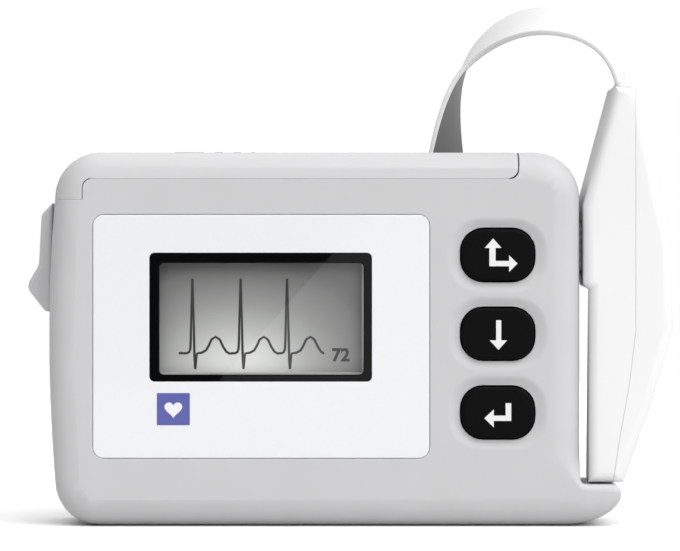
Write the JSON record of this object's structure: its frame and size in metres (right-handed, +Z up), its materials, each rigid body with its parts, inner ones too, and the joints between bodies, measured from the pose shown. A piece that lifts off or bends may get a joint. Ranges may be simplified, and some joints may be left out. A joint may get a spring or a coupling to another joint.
{
  "type": "holter monitor",
  "caption": "Pocket heart-rhythm recorder with a grey display, press keys, a hinged battery door and a docked lead block on a flat ribbon lead.",
  "frame": {"origin": "middle of the recorder's flat bottom face", "axes": "+X towards the reader's right, where the lead block docks; +Y away from the reader, from the face to the back; +Z up"},
  "size_m": [0.1108, 0.0371, 0.0909],
  "materials": {
    "housing_grey": "fine matte texture",
    "block_white": "satin",
    "ribbon_white": "smooth flexible sheath",
    "label_white": "glossy film",
    "gloss_black": "gloss",
    "key_black": "fine matte",
    "window_clear": "clear",
    "lcd_grey": "grey display glass",
    "dark_plastic": "moulded",
    "board_green": "solder mask",
    "tray_grey": "moulded",
    "cell_sleeve": "printed sleeve",
    "plain_steel": "plain"
  },
  "bodies": {
    "recorder": {"front_housing": "housing_grey", "rear_housing": "housing_grey", "face_label": "label_white", "display_bezel": "gloss_black", "display_window": "window_clear", "lcd_panel": "lcd_grey", "tact_switch_1": "dark_plastic", "tact_switch_2": "dark_plastic", "tact_switch_3": "dark_plastic", "main_board": "board_green", "processor_chip": "dark_plastic", "memory_chip": "dark_plastic", "sounder": "dark_plastic", "battery_tray": "tray_grey", "aa_cell": "cell_sleeve", "coil_contact": "plain_steel", "plate_contact": "plain_steel", "memory_card": "dark_plastic", "card_socket": "dark_plastic", "hinge_pin": "plain_steel", "latch_spring": "plain_steel", "input_socket": "dark_plastic", "ribbon_plug": "block_white", "lead_ribbon": "ribbon_white", "dock_socket": "dark_plastic", "housing_screw_1": "plain_steel", "housing_screw_2": "plain_steel", "housing_screw_3": "plain_steel", "housing_screw_4": "plain_steel"},
    "upper_key": {"key_upper": "key_black"},
    "middle_key": {"key_middle": "key_black"},
    "lower_key": {"key_lower": "key_black"},
    "door": {"compartment_door": "housing_grey"},
    "latch": {"door_latch": "housing_grey"},
    "lead_block": {"block_inner_shell": "block_white", "block_outer_shell": "block_white", "block_board": "board_green", "ribbon_gland": "dark_plastic", "dock_plug": "dark_plastic", "lead_socket_01": "dark_plastic", "lead_socket_02": "dark_plastic", "lead_socket_03": "dark_plastic", "lead_socket_04": "dark_plastic", "lead_socket_05": "dark_plastic", "lead_socket_06": "dark_plastic", "lead_socket_07": "dark_plastic", "lead_socket_08": "dark_plastic", "lead_socket_09": "dark_plastic", "lead_socket_10": "dark_plastic"}
  },
  "joints": [
    {"name": "upper_key_press", "type": "slide", "parent": "recorder", "child": "upper_key", "axis": [0, 1, 0], "range_m": [0, 0.0008], "stiffness_N_per_m": 1500},
    {"name": "middle_key_press", "type": "slide", "parent": "recorder", "child": "middle_key", "axis": [0, 1, 0], "range_m": [0, 0.0008], "stiffness_N_per_m": 1500},
    {"name": "lower_key_press", "type": "slide", "parent": "recorder", "child": "lower_key", "axis": [0, 1, 0], "range_m": [0, 0.0008], "stiffness_N_per_m": 1500},
    {"name": "door_hinge", "type": "hinge", "parent": "recorder", "child": "door", "pos_m": [0.0329, 0, 0.0623], "axis": [0, 1, 0], "range_deg": [0, 75]},
    {"name": "latch_slide", "type": "slide", "parent": "recorder", "child": "latch", "axis": [0, 0, -1], "range_m": [0, 0.003], "stiffness_N_per_m": 400, "deforming": ["latch_spring"]},
    {"name": "block_undock", "type": "slide", "parent": "recorder", "child": "lead_block", "axis": [1, 0, 0], "range_m": [0, 0.008], "deforming": ["lead_ribbon"]}
  ]
}
